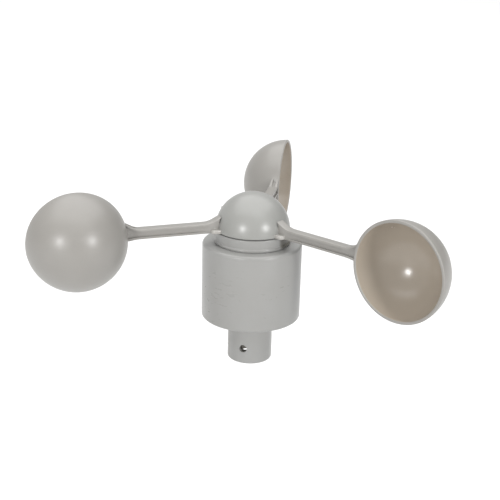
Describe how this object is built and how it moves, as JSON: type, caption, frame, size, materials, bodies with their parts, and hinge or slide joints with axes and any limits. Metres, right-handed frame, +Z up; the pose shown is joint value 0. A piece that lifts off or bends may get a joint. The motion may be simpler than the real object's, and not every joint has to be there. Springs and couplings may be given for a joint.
{
  "type": "cup anemometer",
  "caption": "Cup anemometer: hemispherical cups on ribbed arms round a domed hub, turning on a ball-bearing shaft over a round housing with a mast stub.",
  "frame": {"origin": "centre of the mast stub's lower end, on the shaft's axis", "axes": "+Z up along the shaft, -Y the way the clamp bolt's hole faces, the cable outlet on the +Y side"},
  "size_m": [0.1565, 0.1496, 0.0752],
  "materials": {
    "hub_plastic": "satin moulded",
    "cup_plastic": "satin moulded",
    "brass": "turned",
    "shaft_steel": "ground",
    "magnet_nickel": "nickel plated",
    "shim_steel": "rolled",
    "spring_steel": "oiled black",
    "spacer_aluminium": "turned",
    "bearing_steel": "ground",
    "ball_steel": "polished",
    "cage_steel": "pressed",
    "shield_steel": "pressed",
    "housing_plastic": "satin moulded",
    "carrier_plastic": "satin moulded",
    "base_plastic": "satin moulded",
    "seal_rubber": "matt",
    "screw_steel": "zinc plated",
    "board_laminate": "solder mask",
    "reed_glass": "clear",
    "blade_metal": "tinned",
    "grommet_rubber": "matt"
  },
  "bodies": {
    "housing": {"upper_outer_ring": "bearing_steel", "upper_shields": "shield_steel", "lower_outer_ring": "bearing_steel", "lower_shields": "shield_steel", "housing_shell": "housing_plastic", "bearing_carrier": "carrier_plastic", "base_cover": "base_plastic", "base_seal": "seal_rubber", "base_screws": "screw_steel", "sensor_board": "board_laminate", "reed_glass": "reed_glass", "reed_blades": "blade_metal", "board_screws": "screw_steel", "cable_grommet": "grommet_rubber"},
    "rotor": {"hub_dome": "hub_plastic", "cup_arm_1": "cup_plastic", "cup_arm_2": "cup_plastic", "cup_arm_3": "cup_plastic", "shaft_insert": "brass", "rotor_shaft": "shaft_steel", "magnet_1": "magnet_nickel", "magnet_2": "magnet_nickel", "hub_shim": "shim_steel", "clip_shim": "shim_steel", "retaining_clip": "spring_steel", "bearing_spacer": "spacer_aluminium", "upper_inner_ring": "bearing_steel", "lower_inner_ring": "bearing_steel"},
    "upper_ball_set": {"upper_balls": "ball_steel", "upper_cage": "cage_steel"},
    "lower_ball_set": {"lower_balls": "ball_steel", "lower_cage": "cage_steel"}
  },
  "joints": [
    {"name": "rotor_spin", "type": "hinge", "parent": "housing", "child": "rotor", "pos_m": [0, 0, 0.0556], "axis": [0, 0, 1], "continuous": true},
    {"name": "upper_ball_roll", "type": "hinge", "parent": "housing", "child": "upper_ball_set", "pos_m": [0, 0, 0.0561], "axis": [0, 0, 1], "continuous": true},
    {"name": "lower_ball_roll", "type": "hinge", "parent": "housing", "child": "lower_ball_set", "pos_m": [0, 0, 0.0347], "axis": [0, 0, 1], "continuous": true}
  ],
  "couplings": [
    {"joint": "upper_ball_roll", "follows": "rotor_spin", "ratio": 0.3564},
    {"joint": "lower_ball_roll", "follows": "rotor_spin", "ratio": 0.3564}
  ]
}
